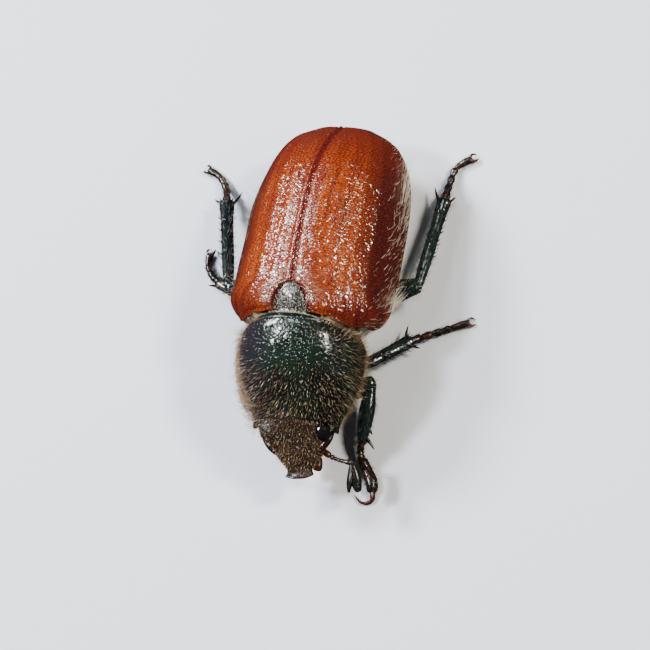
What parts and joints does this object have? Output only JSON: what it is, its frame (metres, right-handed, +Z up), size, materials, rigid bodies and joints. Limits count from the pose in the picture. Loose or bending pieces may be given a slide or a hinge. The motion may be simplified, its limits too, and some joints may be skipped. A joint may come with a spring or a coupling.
{
  "type": "leaf chafer beetle model",
  "caption": "Small scarab beetle standing on its six feet, wing cases closed, head lowered and one foreleg reaching forward.",
  "frame": {"origin": "floor level, under the middle of the bounding box", "axes": "+Z up, the head towards -Y, the beetle's left towards +X"},
  "size_m": [0.0114, 0.013, 0.005],
  "materials": {
    "wing_case": "glossy red-brown chitin with dense shallow pits and faint ribs, short pale hair at its edges",
    "scutellum": "dark grey-green pitted chitin",
    "pronotum": "black chitin with a green and bronze metallic sheen, dense pits and short golden hair",
    "underside": "black chitin under long cream hair",
    "head": "black pitted chitin with golden-brown hair and a shiny rim",
    "eye": "polished black",
    "mouthpart": "shiny red-brown chitin",
    "feeler": "shiny dark red-brown chitin",
    "feeler_club": "satin black",
    "leg": "glossy black chitin with a faint green sheen",
    "foot": "glossy brown-black chitin, redder at the claws"
  },
  "bodies": {
    "root": {"elytron_left": "wing_case", "elytron_right": "wing_case", "scutellum": "scutellum", "prothorax": "pronotum", "thorax": "underside", "abdomen": "underside", "pygidium": "underside", "head": "head", "eye_left": "eye", "eye_right": "eye", "jaws": "mouthpart", "palp_left": "mouthpart", "palp_right": "mouthpart", "antenna_left": "feeler", "antenna_right": "feeler", "antenna_club_left": "feeler_club", "antenna_club_right": "feeler_club", "coxa_left_fore": "leg", "coxa_left_middle": "leg", "coxa_left_hind": "leg", "coxa_right_fore": "leg", "coxa_right_middle": "leg", "coxa_right_hind": "leg", "femur_left_fore": "leg", "femur_left_middle": "leg", "femur_left_hind": "leg", "femur_right_fore": "leg", "femur_right_middle": "leg", "femur_right_hind": "leg", "tibia_left_fore": "leg", "tibia_left_middle": "leg", "tibia_left_hind": "leg", "tibia_right_fore": "leg", "tibia_right_middle": "leg", "tibia_right_hind": "leg", "tarsus_left_fore": "foot", "tarsus_left_middle": "foot", "tarsus_left_hind": "foot", "tarsus_right_fore": "foot", "tarsus_right_middle": "foot", "tarsus_right_hind": "foot"}
  },
  "joints": []
}
